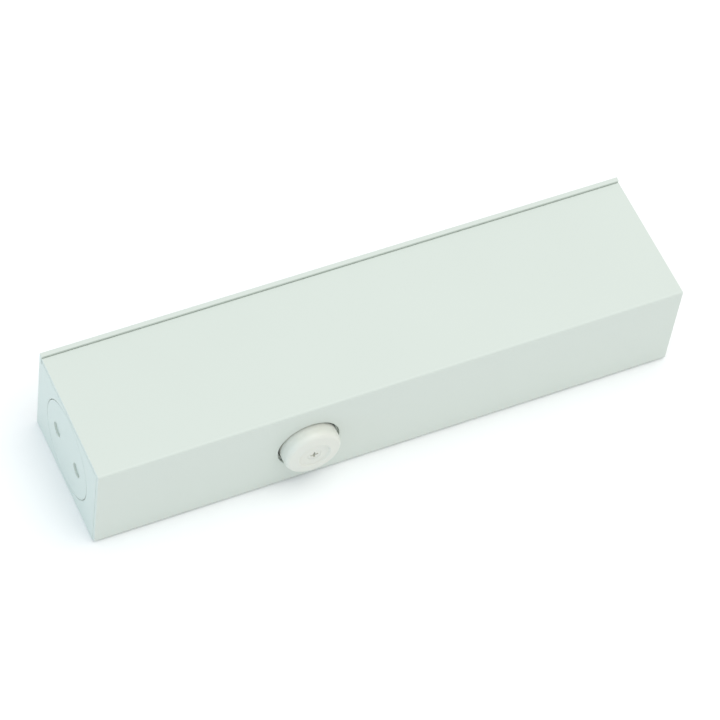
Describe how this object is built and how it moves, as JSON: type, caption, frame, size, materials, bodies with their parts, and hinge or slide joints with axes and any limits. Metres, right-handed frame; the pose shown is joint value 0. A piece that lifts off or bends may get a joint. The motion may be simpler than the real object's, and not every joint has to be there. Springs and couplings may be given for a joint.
{
  "type": "overhead door closer",
  "caption": "Overhead door closer: box-shaped rack-and-pinion body with a clip-on cover, capped spindle end, square arm end and adjustable closing spring.",
  "frame": {"origin": "centre of the back face that is screwed to the door or frame", "axes": "+X along the closer, towards the spring adjuster; +Y along the spindle, towards its arm end; +Z away from the door, out of the front cover"},
  "size_m": [0.25, 0.0728, 0.047],
  "materials": {
    "white_paint": "satin powder coat, very slightly green white",
    "white_plastic": "satin moulded, warm white",
    "steel": "turned and ground",
    "spring_steel": "oiled, blue-black",
    "cast_iron": "machined",
    "brass": "turned",
    "rubber": "matte"
  },
  "bodies": {
    "housing": {"housing": "white_paint", "oil_fill_plug": "steel", "left_cover_clip": "spring_steel", "left_clip_screw": "steel", "right_cover_clip": "spring_steel", "right_clip_screw": "steel", "upper_bearing": "steel", "upper_seal": "rubber", "upper_gland_nut": "steel", "lower_bearing": "steel", "lower_seal": "rubber", "lower_gland_nut": "steel", "closing_spring": "spring_steel", "thrust_washer": "brass", "left_end_plug": "white_paint", "left_plug_o_ring": "rubber", "right_end_plug": "white_paint", "right_plug_o_ring": "rubber"},
    "cover": {"cover": "white_paint"},
    "spindle": {"spindle": "steel", "spindle_cap": "white_plastic", "cap_screw": "white_plastic"},
    "piston": {"piston": "cast_iron", "piston_seal": "rubber", "check_valve_ball": "steel", "check_valve_spring": "spring_steel", "check_valve_retainer": "brass"},
    "spring_seat": {"spring_seat": "steel"},
    "adjuster": {"adjuster_screw": "steel", "adjuster_o_ring": "rubber"},
    "closing_valve": {"closing_valve_screw": "brass", "closing_valve_o_ring": "rubber"},
    "latching_valve": {"latching_valve_screw": "brass", "latching_valve_o_ring": "rubber"},
    "backcheck_valve": {"backcheck_valve_screw": "brass", "backcheck_valve_o_ring": "rubber"}
  },
  "joints": [
    {"name": "spindle_turn", "type": "hinge", "parent": "housing", "child": "spindle", "pos_m": [-0.036, 0, 0.0225], "axis": [0, 1, 0], "range_deg": [0, 180]},
    {"name": "piston_slide", "type": "slide", "parent": "housing", "child": "piston", "axis": [1, 0, 0], "range_m": [0, 0.02827], "stiffness_N_per_m": 24000, "springref_m": -0.0005, "deforming": ["closing_spring"]},
    {"name": "adjuster_turn", "type": "hinge", "parent": "housing", "child": "adjuster", "pos_m": [0.1, 0, 0.0225], "axis": [-1, 0, 0], "range_deg": [0, 3600]},
    {"name": "spring_seat_slide", "type": "slide", "parent": "housing", "child": "spring_seat", "axis": [-1, 0, 0], "range_m": [0, 0.0125]},
    {"name": "closing_valve_turn", "type": "hinge", "parent": "housing", "child": "closing_valve", "pos_m": [-0.085, -0.0215, 0.04], "axis": [0, 0, 1], "range_deg": [0, 720]},
    {"name": "latching_valve_turn", "type": "hinge", "parent": "housing", "child": "latching_valve", "pos_m": [-0.072, -0.0215, 0.04], "axis": [0, 0, 1], "range_deg": [0, 720]},
    {"name": "backcheck_valve_turn", "type": "hinge", "parent": "housing", "child": "backcheck_valve", "pos_m": [-0.059, -0.0215, 0.04], "axis": [0, 0, 1], "range_deg": [0, 720]},
    {"name": "cover_slide", "type": "slide", "parent": "housing", "child": "cover", "axis": [0, -1, 0], "range_m": [0, 0.07]}
  ],
  "couplings": [
    {"joint": "spindle_turn", "follows": "piston_slide", "rad_per_m": 111.11},
    {"joint": "adjuster_turn", "follows": "spring_seat_slide", "rad_per_m": 5026.5}
  ]
}
